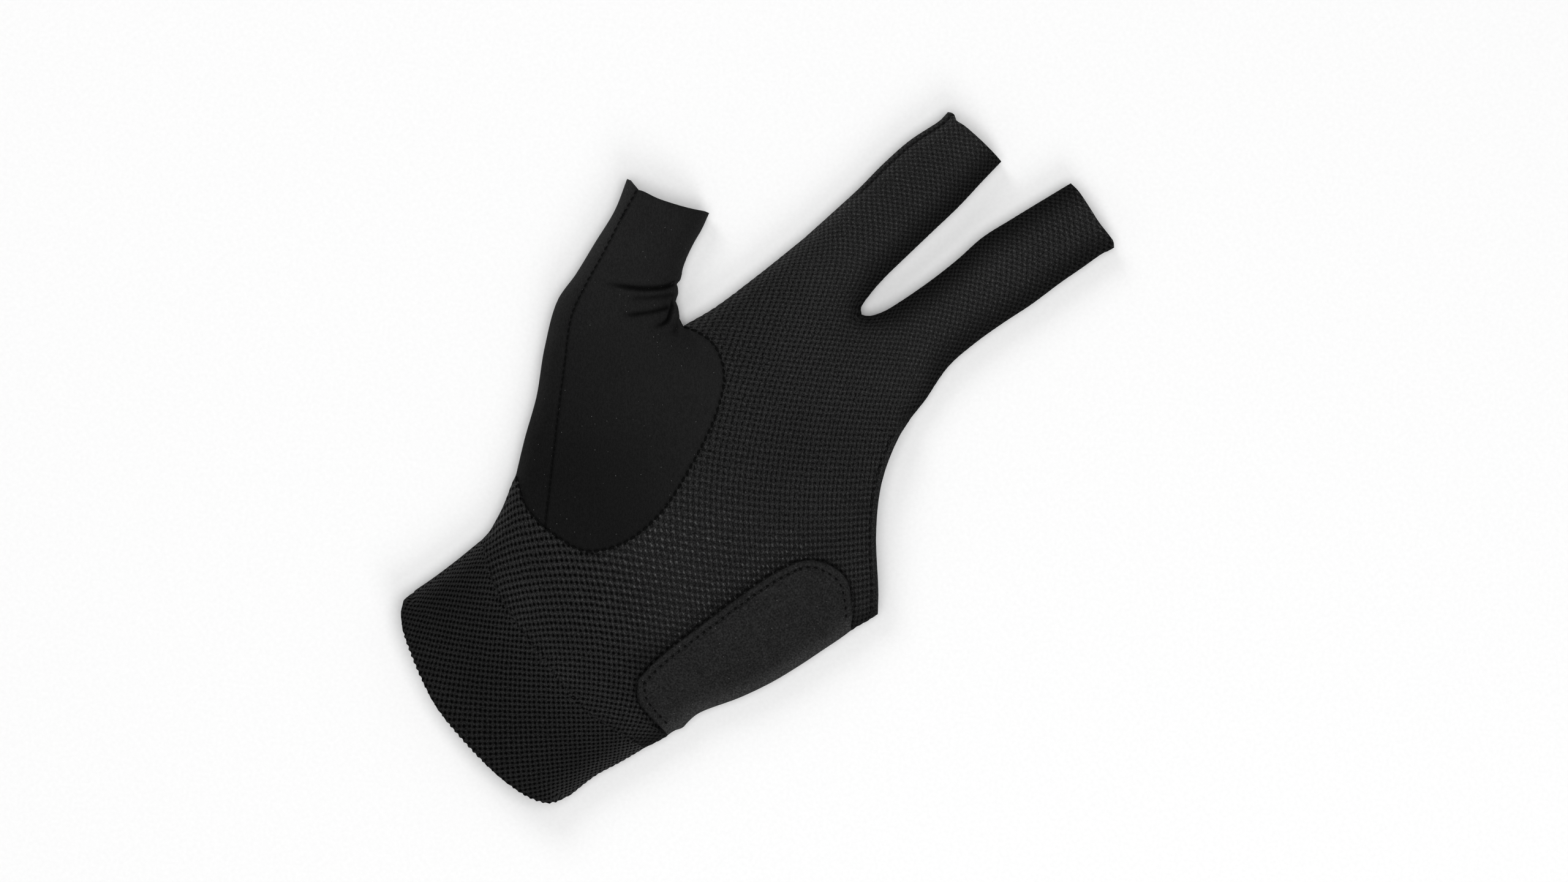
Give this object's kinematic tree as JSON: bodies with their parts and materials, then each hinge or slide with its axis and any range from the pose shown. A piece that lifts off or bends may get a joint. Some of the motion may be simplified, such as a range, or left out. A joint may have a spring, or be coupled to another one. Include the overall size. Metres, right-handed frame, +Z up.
{
  "type": "billiard glove",
  "caption": "Open-fingered billiard glove for thumb, index and middle finger, in mesh and smooth stretch cloth, with a mesh cuff and a wrist closure tab, lying flat palm up.",
  "frame": {"origin": "on the surface the glove lies on, under the middle of its outline", "axes": "+Y from the cuff to the fingertips, +X towards the little-finger side, +Z up out of the palm"},
  "size_m": [0.1428, 0.235, 0.0139],
  "materials": {
    "mesh_cloth": "matte",
    "doubled_mesh_cloth": "matte",
    "smooth_stretch_cloth": "satin",
    "tab_felt": "matte",
    "hook_tape": "matte"
  },
  "bodies": {
    "root": {"palm_panel": "mesh_cloth", "back_panel": "mesh_cloth", "thumb_panel": "smooth_stretch_cloth", "thumb_back_panel": "smooth_stretch_cloth", "cuff_band": "doubled_mesh_cloth", "closure_tab": "tab_felt", "hook_patch": "hook_tape"}
  },
  "joints": []
}
